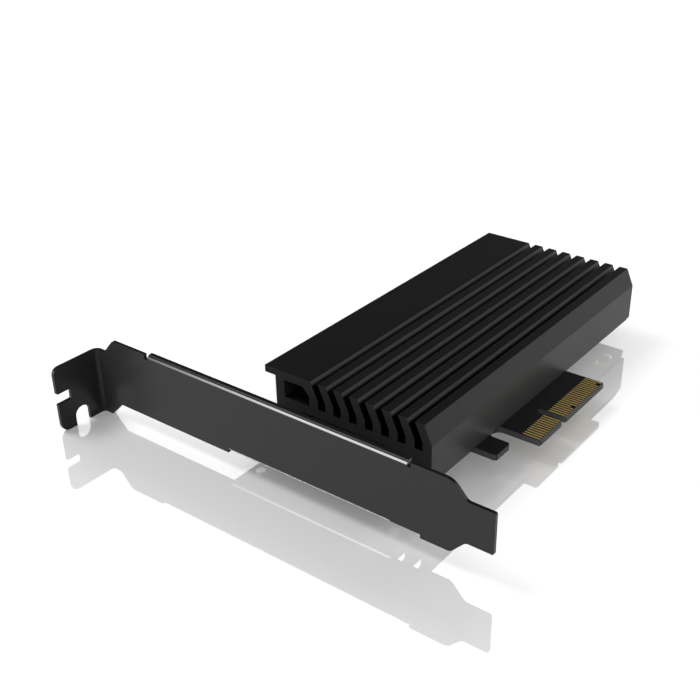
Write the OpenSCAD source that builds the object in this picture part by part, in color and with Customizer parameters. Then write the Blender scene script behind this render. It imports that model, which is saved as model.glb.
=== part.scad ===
// Adapter card that carries a solid-state drive in an expansion slot.
// A folded bracket holds the board, the drive lies between two thermal pads
// under a finned heat sink, and the card edge plugs into the slot.
// Card frame: X across the board from its centre line to the card edge,
// Y from the bracket's outer face into the machine, Z up from the board's underside.

/* [Circuit board] */
// Width of the board without its card edge
board_w = 48.1; // [47:0.1:53]
// Thickness of the board
board_t = 1.6; // [1.2:0.1:2]
// Radius of the board's four outer corners
board_corner_r = 0.8; // [0.3:0.1:2]
// Gap from the bracket's fold to the board's near edge
board_gap = 0.4; // [0.2:0.1:1]
// Length of board past the heat sink's far end
board_tail = 1.7; // [0.5:0.1:4]
// Height of bare copper above the board's surface
copper_t = 0.05; // [0.03:0.01:0.1]

/* [Card edge] */
// Distance from the bracket's outer face to the card edge
edge_y = 44.6; // [43:0.1:48]
// Depth of the card edge beyond the board's side
edge_depth = 12.5; // [11:0.1:14]
// Spacing of the contacts
contact_pitch = 1.0; // [0.8:0.05:1.05]
// Width of a contact
contact_w = 0.7; // [0.4:0.05:0.75]
// Length of a contact
contact_l = 4.8; // [3.5:0.1:5.5]
// Distance from a contact's tip to the end of the board
contact_setback = 0.5; // [0.4:0.05:1]
// Board beyond the centre of an outermost contact
contact_margin = 0.65; // [0.5:0.05:1]
// How much shorter a presence contact is
presence_cut = 1.2; // [0.8:0.1:2]
// Contacts before the key
short_contact_count = 11; // [9:1:11]
// Contacts after the key
long_contact_count = 21; // [16:1:21]
// Width of the key notch
key_w = 1.9; // [1.5:0.05:1.95]
// Depth of the key notch
key_depth = 7.8; // [6:0.1:9]
// Length of the insertion bevel on both faces
edge_bevel = 0.4; // [0.1:0.05:0.4]
// Radius of the card edge's outer corners
edge_corner_r = 0.6; // [0.2:0.1:0.8]
// Distance from the bracket's outer face to the retaining tab
tab_y = 33; // [31:0.1:34]
// Length of the retaining tab
tab_l = 6.6; // [5:0.1:7]
// Depth of the retaining tab beyond the board's side
tab_depth = 7; // [5:0.1:9]
// Radius of the retaining tab's corners
tab_r = 0.8; // [0.2:0.1:1.5]

/* [Plated slots and holes] */
// Distance from the board's side to a slot's centre line
slot_inset = 2.25; // [2:0.05:2.5]
// Width of a slot's opening
slot_w = 1.8; // [1.7:0.05:2]
// Length of a slot's opening
slot_l = 6.2; // [4:0.1:8]
// Width of the bare ring round a slot or hole
ring_w = 0.4; // [0.2:0.05:0.6]
// Thickness of a slot's plated wall
plating_t = 0.1; // [0.05:0.01:0.15]
// Distance from the heat sink's near end to the near slots' centres
slot_near = 9.6; // [6:0.1:14]
// Distance from the heat sink's far end to the far slots' centres
slot_far = 7.2; // [5:0.1:12]
// Radius of the spare hole for a low bracket
spare_r = 1.4; // [1:0.1:1.8]
// Distance from the right bracket screw to the spare hole
spare_pitch = 5.4; // [5:0.1:9]
// Width of the bare copper area under the drive
land_w = 20.6; // [18:0.1:22]
// Distance from the drive's far end to the end of the copper area
land_tail = 8.4; // [7:0.1:12]

/* [Drive] */
// Length of the drive
ssd_l = 80; // [76:1:110]
// Width of the drive
ssd_w = 22; // [21:0.1:22.5]
// Thickness of the drive's board
ssd_t = 0.8; // [0.6:0.05:1]
// Distance from the heat sink's near end to the drive
ssd_setback = 4.2; // [3:0.1:7]
// Radius of the half-round notch for the screw
ssd_notch_r = 1.75; // [1.3:0.05:1.9]
// Width of the plug-in tongue
tongue_w = 19.85; // [18.5:0.05:20]
// Length of the plug-in tongue
tongue_l = 4; // [3.5:0.1:5]
// Distance from the centre line to the drive's key notch
ssd_key_x = 6.1; // [5.6:0.05:6.6]
// Width of the drive's key notch
ssd_key_w = 1.2; // [1:0.05:1.4]
// Depth of the drive's key notch
ssd_key_depth = 3.5; // [2.5:0.1:3.5]
// Height of the chips on the drive
chip_h = 1.1; // [0.8:0.05:1.4]
// Width of the lane for small parts on the drive's right side
lane_w = 3.6; // [3:0.1:4.5]
// Length of a flash chip
flash_l = 14.4; // [11:0.1:15]
// Distance from the drive's left side to a flash chip
flash_side = 0.4; // [0.2:0.05:0.8]
// Distance from the drive's near end to the first flash chip
flash_setback = 4.2; // [3.6:0.1:5]
// Side of the square controller chip
controller_w = 13.7; // [10:0.1:14.2]
// Width of the power chip
power_w = 6; // [4:0.1:8]
// Length of the power chip
power_l = 5.3; // [4:0.1:6]
// Gap between neighbouring chips
chip_gap = 3; // [2.6:0.1:3.4]
// Spacing of the drive's contacts
ssd_pitch = 0.5; // [0.4:0.01:0.52]
// Length of a small part on the drive
small_part_l = 1; // [0.8:0.05:1.1]
// Width and height of a small part on the drive
small_part_w = 0.5; // [0.3:0.05:0.55]
// Gap from a small part to a chip or to the drive's side
small_part_gap = 0.5; // [0.3:0.05:0.6]
// Radius of the drive's two small holes
ssd_hole_r = 0.45; // [0.3:0.05:0.5]
// Distance from the drive's side to a small hole
ssd_hole_inset = 2; // [1.6:0.1:3]
// Distance from the drive's near end to the first small hole
ssd_hole_setback = 0.9; // [0.7:0.05:1.5]
// Distance from the drive's shoulders back to the second small hole
ssd_hole_shoulder = 1.9; // [1.3:0.05:2]

/* [Thermal pads] */
// Width of a pad
pad_w = 18.5; // [16:0.1:20]
// Thickness of the lower pad
lower_pad_t = 1.8; // [1.5:0.05:2.2]
// Gap from a pad's end to its neighbour on the board
pad_gap = 0.3; // [0.2:0.05:1]

/* [Drive socket] */
// Length of the housing behind the drive's shoulders
socket_l = 8.4; // [7.5:0.1:10]
// Thickness of the housing's roof
socket_roof = 0.7; // [0.5:0.05:1]
// Length of the roof over the tongue
roof_reach = 2; // [1:0.1:3]
// Height of the housing's floor above the board
socket_floor = 0.9; // [0.6:0.05:1]
// Length of the front tails ahead of the housing
tail_l = 1.1; // [0.8:0.05:1.5]
// Thickness of a pin's strip
pin_t = 0.15; // [0.1:0.01:0.2]
// Width of a pin
pin_w = 0.25; // [0.15:0.01:0.3]

/* [Heat sink] */
// Distance from the bracket's outer face to the heat sink
sink_y = 14.4; // [12:0.1:18]
// Length of the heat sink past the drive's far end
sink_tail = 20; // [17:0.1:28]
// Height of the heat sink
sink_h = 15; // [14:0.1:18]
// Distance that the left side stays inside the board's side
sink_left_inset = 0.15; // [0:0.05:0.5]
// Distance that the right side stands past the board's side
sink_right_over = 1.1; // [0.8:0.05:2]
// Width of the plain top plate before the first groove
top_plate_w = 14.3; // [13.5:0.1:16]
// Thickness of the top plate's overhang
overhang_t = 1.85; // [1.2:0.05:2.2]
// Width of the overhang on the left
overhang_w = 3.25; // [2.9:0.05:3.5]
// Spacing of the grooves
groove_pitch = 4.65; // [4.4:0.05:5.2]
// Width of a groove
groove_w = 2.2; // [1.6:0.05:2.3]
// Sideways lean of a groove from its knee to the top
groove_lean = 2.15; // [1.5:0.05:2.4]
// Height of a groove's upright foot
groove_foot = 2.2; // [1.5:0.1:3]
// Thickness of the base between the drive's cavity and the grooves
base_t = 2.5; // [2:0.05:3]
// Height of the cavity over the drive
cavity_h = 5.5; // [5.2:0.05:6]
// Gap from the drive's side to the upper cavity's wall
cavity_side = 1.65; // [1:0.05:2.5]
// Height of the wider lower cavity
ledge_h = 3.15; // [2.5:0.05:3.6]
// Width of the ledge on the left
ledge_left_w = 3.1; // [2.5:0.05:3.6]
// Width of the ledge on the right
ledge_right_w = 3.85; // [2.5:0.05:4]
// Height of the air channel's opening
channel_h = 4.75; // [3.5:0.05:4.8]
// Thickness of the wall left of the air channel
channel_wall = 2.7; // [2:0.05:3.2]
// Size of the air channel's cut upper corner
channel_cut = 2; // [1:0.1:2.4]
// Distance that the screw flange stays inside the overhang
flange_inset = 0.35; // [0:0.05:0.5]
// Thickness of the screw flange
flange_t = 1.2; // [0.8:0.05:1.6]

/* [Bracket] */
// Thickness of the bracket's sheet
sheet_t = 0.86; // [0.7:0.01:1]
// Width of the bracket
bracket_w = 18.42; // [17.5:0.01:19]
// Length from the lug's outer face to the tongue's end
bracket_l = 120.02; // [118:0.01:124]
// Distance from the board's centre line to the lug's seating face
seat_x = 68.94; // [68:0.01:71]
// Distance that the face plate drops below the board
plate_drop = 1.15; // [1.05:0.05:1.5]
// Distance that the lug drops below the face plate
lug_drop = 4.2; // [3.8:0.05:4.4]
// Reach of the lug from the face plate's outer face
lug_reach = 13.75; // [13:0.05:15]
// Inner radius of the lug's bend
lug_bend_r = 1; // [0.5:0.1:1.2]
// Width of the lug's screw slot
lug_slot_w = 4.42; // [4.2:0.01:4.6]
// Depth of the lug's screw slot
lug_slot_d = 4.8; // [4:0.05:5.5]
// Distance from the outer face to the screw slot's middle
lug_slot_y = 6.95; // [6.5:0.05:7.5]
// Height of the lug's side notch
notch_h = 2.85; // [2:0.05:3.2]
// Depth of the lug's side notch
notch_d = 4.15; // [3:0.05:4.2]
// Height of the side notch's middle above the lug's lower edge
notch_z = 9.75; // [9.2:0.05:10.5]
// Radius of the lug's upper corner
lug_upper_r = 1.9; // [1:0.1:3]
// Radius of the lug's lower corner
lug_lower_r = 2.4; // [1:0.1:2.5]
// Length of the narrow neck from the lug's seating face
neck_l = 3; // [2.3:0.1:4]
// Length of the slanted step above the neck
neck_step_l = 3.7; // [2.5:0.1:4.5]
// Length of the slanted step below the neck
neck_chamfer_l = 4.2; // [3:0.1:5]
// Length of the tongue
tongue_end_l = 6.8; // [5:0.1:8]
// Width of the tongue
tongue_end_w = 10.5; // [9.5:0.05:11.5]
// Length of the taper from the face plate to the tongue
taper_l = 3.7; // [3:0.1:5]
// Inner radius of the board flange's and lip's folds
fold_r = 0.4; // [0.3:0.05:0.6]
// Width of the flange under the board
board_flange_w = 48; // [46:0.1:50]
// Depth of the flange under the board
board_flange_d = 13; // [11:0.1:15]
// Length of the recess right of the board flange
relief_l = 8; // [2:0.1:10]
// Depth of the recess right of the board flange
relief_d = 1; // [0.5:0.05:1.5]
// Depth that the upper lip folds inwards
lip_d = 1.75; // [1.7:0.05:3]
// Distance from the centre line to the lip's left end
lip_left = 49.6; // [40:0.1:52]
// Distance from the centre line to the lip's right end
lip_right = 28.4; // [20:0.1:34]
// Width of the relief cut at each end of the lip
lip_relief_w = 1; // [0.6:0.1:2]

/* [Screws] */
// Radius of the drive screw's thread
ssd_screw_r = 1; // [0.8:0.05:1.1]
// Radius of the drive screw's head
ssd_head_r = 2.5; // [2.2:0.05:2.7]
// Height of the drive screw's head
ssd_head_h = 0.7; // [0.6:0.05:0.9]
// Length of the drive screw's thread
ssd_screw_l = 3; // [2.5:0.1:3.6]
// Radius of the nut that the drive lies on
nut_r = 2.7; // [2.3:0.05:2.8]
// Radius of a bracket screw's thread
bracket_screw_r = 1.25; // [1:0.05:1.5]
// Radius of a bracket screw's head
bracket_head_r = 2.5; // [2.2:0.05:2.8]
// Height of a bracket screw's head
bracket_head_h = 1.6; // [1.2:0.05:2]
// Length of a bracket screw's thread past the flange
bracket_screw_tip = 1.2; // [0.5:0.1:1.8]
// Distance from the flange's side to a bracket screw
bracket_screw_inset = 3.7; // [3.2:0.1:4.2]
// Distance from the bracket's outer face to the bracket screws
bracket_screw_y = 6.8; // [6:0.1:8]
// Radius of a heat sink screw's thread
sink_screw_r = 0.8; // [0.6:0.05:0.8]
// Radius of a heat sink screw's head
sink_head_r = 1.6; // [1.4:0.05:1.8]
// Height of a heat sink screw's head
sink_head_h = 0.9; // [0.7:0.05:1.2]
// Length of a heat sink screw's thread inside the heat sink
sink_screw_grip = 2.2; // [1.5:0.1:2.4]
// Gap between a screw's thread and its hole
thread_gap = 0.03; // [0.02:0.01:0.05]

/* [Coupling capacitors] */
// Length of a capacitor
cap_l = 1.7; // [1.2:0.05:1.9]
// Width and height of a capacitor
cap_w = 0.85; // [0.5:0.05:1]
// Length of a capacitor's metal end
cap_end_l = 0.4; // [0.2:0.05:0.5]
// Spacing of the capacitors in a row
cap_pitch = 2.48; // [1.6:0.01:2.6]
// Capacitors in a row
cap_count = 5; // [2:1:5]
// Distance from the drive's far end back to the first row's first capacitor
cap_row_y = 14; // [12:0.1:15]
// Distance that the second row starts after the first
cap_row_shift = 6.6; // [4:0.1:8]

/* [Hidden] */

// Smoothness of round holes and of rounded outlines
round_fn = 40;
small_fn = 24;
arc_steps = 6;
// How far a cut runs past the face that it opens
overrun = 0.5;
// Share of its width that rounds the closed end of a narrow notch
round_end_share = 0.49;

// Positions along the card
fold_y = sheet_t + fold_r;
board_y = fold_y + board_gap;
ssd_y = sink_y + ssd_setback;
ssd_end = ssd_y + ssd_l;
shoulder_y = ssd_end - tongue_l;
sink_end = ssd_end + sink_tail;
sink_l = sink_end - sink_y;
board_end = sink_end + board_tail;
slot_ys = [sink_y + slot_near, sink_end - slot_far];
slot_x = board_w / 2 - slot_inset;

// Heights above the board's underside
board_top = board_t;
copper_top = board_t + copper_t;
ssd_z = copper_top + lower_pad_t;
ssd_top = ssd_z + ssd_t;
chip_top = ssd_top + chip_h;
roof_z = copper_top + cavity_h;
sink_top = copper_top + sink_h;
plate_z = -plate_drop;
plate_top = plate_z + bracket_w;
lug_z = plate_z - lug_drop;
lug_top = lug_z + bracket_w;

// Card edge
edge_x = board_w / 2 + edge_depth;
short_l = (short_contact_count - 1) * contact_pitch;
key_pitch_count = 3;
key_y = edge_y + contact_margin + short_l + key_pitch_count * contact_pitch / 2;
first_long_y = edge_y + contact_margin + short_l + key_pitch_count * contact_pitch;
edge_end = first_long_y + (long_contact_count - 1) * contact_pitch + contact_margin;
bevel_share = 0.7;
gap_w = edge_y - tab_y - tab_l;
// Contacts that stop short of the rest, counted from the bracket
component_presence = [short_contact_count + floor(long_contact_count / 4),
    short_contact_count + long_contact_count - 2];
solder_presence = [0];

// Bracket
lug_outer_x = -seat_x - sheet_t;
tongue_tip_x = lug_outer_x + bracket_l;
taper_end_x = tongue_tip_x - tongue_end_l;
plate_end_x = taper_end_x - taper_l;
bracket_screw_x = board_flange_w / 2 - bracket_screw_inset;
spare_x = bracket_screw_x - spare_pitch;

// Frame of the finished part: below the middle of its box, on its lowest edge
low_x = lug_outer_x;
high_x = max(tongue_tip_x, edge_x);
low_y = -lug_reach;
high_y = board_end;
low_z = lug_z;
origin = [(low_x + high_x) / 2, (low_y + high_y) / 2, low_z];

// Direction of a vector
function unit(v) = v / norm(v);

// Arc that rounds the corner at b between a and c, kept inside both edges
function corner(a, b, c, r) =
    let (u = unit(a - b), v = unit(c - b), half = acos(u * v) / 2,
        limit = round_end_share * min(norm(a - b), norm(c - b)) * tan(half),
        r_used = min(r, limit), reach = r_used / tan(half),
        centre = b + unit(u + v) * r_used / sin(half),
        from = b + u * reach - centre, to = b + v * reach - centre,
        start = atan2(from.y, from.x), turn = atan2(to.y, to.x) - start,
        sweep = turn > 180 ? turn - 360 : turn < -180 ? turn + 360 : turn)
    r_used <= 0 ? [b] : [for (i = [0 : arc_steps])
        let (angle = start + sweep * i / arc_steps)
        centre + r_used * [cos(angle), sin(angle)]];

// Outline of a list of [x, y, corner radius]
function rounded(path) =
    let (n = len(path), at = function (i) [path[i].x, path[i].y])
    [for (i = [0 : n - 1])
        each corner(at((i + n - 1) % n), at(i), at((i + 1) % n), path[i].z)];

// Extrudes an X-Z outline along Y from zero
module along_y(length) {
    translate([0, length, 0]) rotate([90, 0, 0]) linear_extrude(length) children();
}

// Extrudes a Y-Z outline along X from zero
module along_x(length) {
    rotate([90, 0, 90]) linear_extrude(length) children();
}

// Box from one corner to the opposite one
module block(low, high) {
    translate(low) cube(high - low);
}

// Upright prism with two round ends, long in Y, centred on its axis
module stadium(width, length, height) {
    straight = length - width;
    for (side = [-1, 1])
        translate([0, side * straight / 2, 0]) cylinder(d = width, h = height, $fn = small_fn);
    translate([-width / 2, -straight / 2, 0]) cube([width, straight, height]);
}

// Puts a thing built in the card frame into the finished part's frame
module in_part() {
    translate(-origin) children();
}

// Quarter tube along X that joins two sheets at a right angle, centred on its axis
module fold(length, inner_r, start_angle) {
    rotate([90, 0, 90]) intersection() {
        difference() {
            cylinder(r = inner_r + sheet_t, h = length, $fn = round_fn);
            translate([0, 0, -overrun])
                cylinder(r = inner_r, h = length + 2 * overrun, $fn = round_fn);
        }
        rotate(start_angle) translate([0, 0, -overrun])
            cube([inner_r + 2 * sheet_t, inner_r + 2 * sheet_t, length + 2 * overrun]);
    }
}

// Face plate of the bracket, from the lug's bend to the tongue's end
module bracket_plate() {
    bend_x = lug_outer_x + sheet_t + lug_bend_r;
    neck_x = neck_l - seat_x;
    tongue_z = plate_z + (bracket_w - tongue_end_w) / 2;
    tongue_top = tongue_z + tongue_end_w;
    step_r = 1.2 * sheet_t;
    tip_r = sheet_t / 2;
    outline = [
        [bend_x, lug_z, 0],
        [neck_x, lug_z, step_r],
        [neck_x + neck_chamfer_l, plate_z, 0],
        [plate_end_x, plate_z, taper_l / 2],
        [taper_end_x, tongue_z, taper_l / 2],
        [tongue_tip_x, tongue_z, tip_r],
        [tongue_tip_x, tongue_top, tip_r],
        [taper_end_x, tongue_top, taper_l / 2],
        [plate_end_x, plate_top, taper_l],
        [neck_x + neck_step_l, plate_top, step_r],
        [neck_x, lug_top, 0],
        [bend_x, lug_top, 0]];
    along_y(sheet_t) polygon(rounded(outline));
}

// Lug with its screw slot and side notch, and the bend that carries it
module bracket_lug() {
    arc_z = lug_z + lug_slot_d - lug_slot_w / 2;
    notch_mid = lug_z + notch_z;
    notch_r = sheet_t / 2;
    outline = [
        [-lug_bend_r, lug_z, 0],
        [-lug_bend_r, lug_top, 0],
        [-lug_reach, lug_top, lug_upper_r],
        [-lug_reach, notch_mid + notch_h / 2, notch_r],
        [-lug_reach + notch_d, notch_mid + notch_h / 2, notch_r],
        [-lug_reach + notch_d, notch_mid - notch_h / 2, notch_r],
        [-lug_reach, notch_mid - notch_h / 2, 0],
        [-lug_reach, lug_z, lug_lower_r]];
    difference() {
        translate([lug_outer_x, 0, 0]) along_x(sheet_t) polygon(rounded(outline));
        translate([lug_outer_x - overrun, -lug_slot_y, arc_z]) rotate([0, 90, 0])
            cylinder(d = lug_slot_w, h = sheet_t + 2 * overrun, $fn = round_fn);
        block([lug_outer_x - overrun, -lug_slot_y - lug_slot_w / 2, lug_z - overrun],
            [lug_outer_x + sheet_t + overrun, -lug_slot_y + lug_slot_w / 2, arc_z]);
    }
    translate([lug_outer_x + sheet_t + lug_bend_r, -lug_bend_r, lug_z]) intersection() {
        difference() {
            cylinder(r = lug_bend_r + sheet_t, h = bracket_w, $fn = round_fn);
            translate([0, 0, -overrun])
                cylinder(r = lug_bend_r, h = bracket_w + 2 * overrun, $fn = round_fn);
        }
        translate([-lug_bend_r - 2 * sheet_t, 0, -overrun])
            cube([lug_bend_r + 2 * sheet_t, lug_bend_r + 2 * sheet_t,
                bracket_w + 2 * overrun]);
    }
}

// Flange under the board, folded in from the face plate's lower edge
module board_flange() {
    half = board_flange_w / 2;
    difference() {
        block([-half, fold_y, -sheet_t], [half, board_flange_d, 0]);
        for (side = [-1, 1])
            translate([side * bracket_screw_x, bracket_screw_y, -sheet_t - overrun])
                cylinder(r = bracket_screw_r + thread_gap, h = sheet_t + 2 * overrun,
                    $fn = round_fn);
        translate([spare_x, bracket_screw_y, -sheet_t - overrun])
            cylinder(r = spare_r + 2 * ring_w, h = sheet_t + 2 * overrun, $fn = round_fn);
    }
    translate([-half, fold_y, fold_r]) fold(board_flange_w, fold_r, 180);
}

// Lip folded in from the face plate's upper edge
module upper_lip() {
    block([-lip_left, fold_y, plate_top - sheet_t], [lip_right, lip_d, plate_top]);
    translate([-lip_left, fold_y, plate_top - sheet_t - fold_r])
        fold(lip_left + lip_right, fold_r, 90);
}

module bracket() {
    half = board_flange_w / 2;
    color("#2e2e2e") {
        difference() {
            bracket_plate();
            // Strip that the board flange's fold takes up
            block([-half, -overrun, plate_z - overrun], [half, sheet_t + overrun, fold_r]);
            // Shallower recess right of the flange
            block([half - sheet_t, -overrun, plate_z - overrun],
                [half + relief_l, sheet_t + overrun, plate_z + relief_d]);
            // Strip that the lip's fold and its end reliefs take up
            block([-lip_left - lip_relief_w, -overrun, plate_top - sheet_t - fold_r],
                [lip_right + lip_relief_w, sheet_t + overrun, plate_top + overrun]);
        }
        bracket_lug();
        board_flange();
        upper_lip();
    }
}

// Outline of the board with its retaining tab and keyed card edge
module board_outline() {
    side = board_w / 2;
    key_x = edge_x - key_depth;
    gap_r = round_end_share * gap_w;
    key_r = round_end_share * key_w;
    path = [
        [-side, board_y, board_corner_r],
        [side, board_y, board_corner_r],
        [side, tab_y, 0],
        [side + tab_depth, tab_y, tab_r],
        [side + tab_depth, tab_y + tab_l, tab_r],
        [side, tab_y + tab_l, gap_r],
        [side, edge_y, gap_r],
        [edge_x, edge_y, edge_corner_r],
        [edge_x, key_y - key_w / 2, edge_corner_r],
        [key_x, key_y - key_w / 2, key_r],
        [key_x, key_y + key_w / 2, key_r],
        [edge_x, key_y + key_w / 2, edge_corner_r],
        [edge_x, edge_end, edge_corner_r],
        [side, edge_end, 0],
        [side, board_end, board_corner_r],
        [-side, board_end, board_corner_r]];
    polygon(rounded(path));
}

module circuit_board() {
    color("#141414") difference() {
        linear_extrude(board_t) board_outline();
        for (side = [-1, 1], y = slot_ys) translate([side * slot_x, y, -overrun])
            stadium(slot_w + 2 * plating_t, slot_l + 2 * plating_t, board_t + 2 * overrun);
        for (side = [-1, 1])
            translate([side * bracket_screw_x, bracket_screw_y, -overrun])
                cylinder(r = bracket_screw_r + plating_t, h = board_t + 2 * overrun,
                    $fn = round_fn);
        translate([spare_x, bracket_screw_y, -overrun])
            cylinder(r = spare_r, h = board_t + 2 * overrun, $fn = round_fn);
        translate([0, ssd_y, -overrun])
            cylinder(r = nut_spigot_r, h = board_t + 2 * overrun, $fn = round_fn);
        // Insertion bevels on both faces of the card edge
        for (face = [0, 1]) translate([0, edge_y - overrun, face * board_t])
            mirror([0, 0, face]) along_y(edge_end - edge_y + 2 * overrun)
                polygon([
                    [edge_x - edge_bevel, 0],
                    [edge_x, edge_bevel * bevel_share],
                    [edge_x + overrun, edge_bevel * bevel_share],
                    [edge_x + overrun, -overrun],
                    [edge_x - edge_bevel, -overrun]]);
    }
}

// One row of card edge contacts; the listed ones stop short of the rest
module edge_contacts(z, presence) {
    tip_x = edge_x - contact_setback;
    for (i = [0 : short_contact_count + long_contact_count - 1]) {
        y = i < short_contact_count
            ? edge_y + contact_margin + i * contact_pitch
            : first_long_y + (i - short_contact_count) * contact_pitch;
        cut = len(search(i, presence)) > 0 ? presence_cut : 0;
        block([tip_x - contact_l, y - contact_w / 2, z],
            [tip_x - cut, y + contact_w / 2, z + copper_t]);
    }
}

module component_edge_contacts() {
    color("#b8923c") edge_contacts(board_top, component_presence);
}

module solder_edge_contacts() {
    color("#b8923c") edge_contacts(-copper_t, solder_presence);
}

// Barrel with a bare ring on each face of the board, one for each slot
module plated_slots() {
    barrel_w = slot_w + 2 * plating_t;
    barrel_l = slot_l + 2 * plating_t;
    color("#c9a13f") for (side = [-1, 1], y = slot_ys)
        translate([side * slot_x, y, 0]) difference() {
            union() {
                stadium(barrel_w, barrel_l, board_t);
                for (z = [-copper_t, board_top]) translate([0, 0, z])
                    stadium(barrel_w + 2 * ring_w, barrel_l + 2 * ring_w, copper_t);
            }
            translate([0, 0, -overrun])
                stadium(slot_w, slot_l, board_t + 2 * overrun);
        }
}

module spare_hole_rings() {
    color("#c9a13f") for (z = [-copper_t, board_top])
        translate([spare_x, bracket_screw_y, z]) difference() {
            cylinder(r = spare_r + ring_w, h = copper_t, $fn = round_fn);
            translate([0, 0, -overrun])
                cylinder(r = spare_r, h = copper_t + 2 * overrun, $fn = round_fn);
        }
}

module copper_area() {
    color("#a8883a") block([-land_w / 2, pad_y - pad_gap / 2, board_top],
        [land_w / 2, ssd_end - land_tail, copper_top]);
}

// Where the capacitors' two rows stand between the copper area and the board's side
cap_row_shares = [0.193, 0.578];
cap_row_xs = [for (share = cap_row_shares) land_w / 2 + share * (board_w - land_w) / 2];

// Calls its children at the middle of each coupling capacitor
module each_capacitor() {
    for (row = [0, 1], i = [0 : cap_count - 1])
        translate([cap_row_xs[row],
            ssd_end - cap_row_y + row * cap_row_shift + i * cap_pitch, board_top]) children();
}

module capacitor_bodies() {
    half = cap_l / 2 - cap_end_l;
    color("#8a6a48") each_capacitor()
        block([-half, -cap_w / 2, 0], [half, cap_w / 2, cap_w]);
}

module capacitor_ends() {
    color("#d8d4cc") each_capacitor() for (side = [0, 1]) mirror([side, 0, 0])
        block([cap_l / 2 - cap_end_l, -cap_w / 2, 0], [cap_l / 2, cap_w / 2, cap_w]);
}

// Heat sink profile, seen from the bracket
sink_left = sink_left_inset - board_w / 2;
sink_right = board_w / 2 + sink_right_over;
sink_wall_x = sink_left + overhang_w;
cavity_x = ssd_w / 2 + cavity_side;
foot_x = cavity_x + ledge_right_w;
groove_floor = roof_z + base_t;
knee_z = groove_floor + groove_foot;
first_groove_x = sink_left + top_plate_w;
last_fin_w = 2;
groove_span = sink_right - groove_lean - last_fin_w - groove_w - first_groove_x;
groove_count = floor(groove_span / groove_pitch) + 1;

module sink_outline() {
    polygon([
        [sink_left, sink_top],
        [sink_left, sink_top - overhang_t],
        [sink_wall_x, sink_top - overhang_t],
        [sink_wall_x, copper_top + flange_t],
        [sink_left + flange_inset, copper_top + flange_t],
        [sink_left + flange_inset, copper_top],
        [-cavity_x - ledge_left_w, copper_top],
        [-cavity_x - ledge_left_w, copper_top + ledge_h],
        [-cavity_x, copper_top + ledge_h],
        [-cavity_x, roof_z],
        [cavity_x, roof_z],
        [cavity_x, copper_top + ledge_h],
        [foot_x, copper_top + ledge_h],
        [foot_x, copper_top],
        [sink_right, copper_top],
        [sink_right, knee_z],
        [sink_right - groove_lean, sink_top]]);
}

// One groove between two fins: upright at its foot, leaning left above its knee
module groove_outline() {
    lean_run = groove_lean * overrun / (sink_top - knee_z);
    polygon([
        [-lean_run, sink_top + overrun],
        [groove_lean, knee_z],
        [groove_lean, groove_floor],
        [groove_lean + groove_w, groove_floor],
        [groove_lean + groove_w, knee_z],
        [groove_w - lean_run, sink_top + overrun]]);
}

// Closed air channel under the plain top plate
module channel_outline() {
    left = sink_wall_x + channel_wall;
    right = first_groove_x + groove_lean - channel_wall;
    ceiling = groove_floor + channel_h;
    outline = [
        [left, groove_floor, 0],
        [right, groove_floor, 0],
        [right, ceiling - channel_cut, channel_cut / 2],
        [right - channel_cut, ceiling, channel_cut / 2],
        [left, ceiling, 0]];
    polygon(rounded(outline));
}

module heat_sink() {
    bore_depth = sink_screw_grip + slot_w;
    pocket_x = cap_row_xs[1] + cap_l;
    pocket_y = ssd_end - cap_row_y;
    pocket_end = pocket_y + cap_row_shift + cap_count * cap_pitch;
    color("#1c1c1c") difference() {
        translate([0, sink_y, 0]) along_y(sink_l) difference() {
            sink_outline();
            for (i = [0 : groove_count - 1])
                translate([first_groove_x + i * groove_pitch, 0]) groove_outline();
            channel_outline();
        }
        for (side = [-1, 1], y = slot_ys)
            translate([side * slot_x, y, copper_top - overrun])
                cylinder(r = sink_screw_r + thread_gap, h = bore_depth + overrun,
                    $fn = round_fn);
        // Pocket over the coupling capacitors that reach under the right foot
        block([cavity_x, pocket_y, copper_top - overrun],
            [pocket_x, pocket_end, copper_top + 2 * cap_w]);
    }
}

// Pan-head screw that points down, with its head's seat at the origin
module screw(thread_r, length, head_r, head_h) {
    cross_w = head_r / 4;
    cross_l = head_r;
    difference() {
        union() {
            rotate_extrude($fn = round_fn) polygon([
                [0, 0],
                [head_r * 0.9, 0],
                [head_r, head_h * 0.3],
                [head_r * 0.95, head_h * 0.6],
                [head_r * 0.7, head_h],
                [0, head_h]]);
            translate([0, 0, -length]) cylinder(r = thread_r, h = length, $fn = small_fn);
        }
        for (turn = [0, 90]) rotate(turn)
            block([-cross_l / 2, -cross_w / 2, head_h / 2],
                [cross_l / 2, cross_w / 2, head_h + overrun]);
    }
}

module heat_sink_screws() {
    length = board_t + 2 * copper_t + sink_screw_grip;
    color("#3a3a3c") for (side = [-1, 1], y = slot_ys)
        translate([side * slot_x, y, -copper_t]) mirror([0, 0, 1])
            screw(sink_screw_r, length, sink_head_r, sink_head_h);
}

module bracket_screws() {
    length = board_t + sheet_t + bracket_screw_tip;
    color("#b4b6b8") for (side = [-1, 1])
        translate([side * bracket_screw_x, bracket_screw_y, board_top])
            screw(bracket_screw_r, length, bracket_head_r, bracket_head_h);
}

// Thermal pads, from the retaining nut to the socket's front tails
pad_y = ssd_y + nut_r + pad_gap;
tail_y = shoulder_y - tail_l;
pad_end = tail_y - pad_gap;

module upper_thermal_pad() {
    color("#b9bab8") block([-pad_w / 2, pad_y, chip_top], [pad_w / 2, pad_end, roof_z]);
}

module lower_thermal_pad() {
    color("#b9bab8") block([-pad_w / 2, pad_y, copper_top], [pad_w / 2, pad_end, ssd_z]);
}

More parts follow.
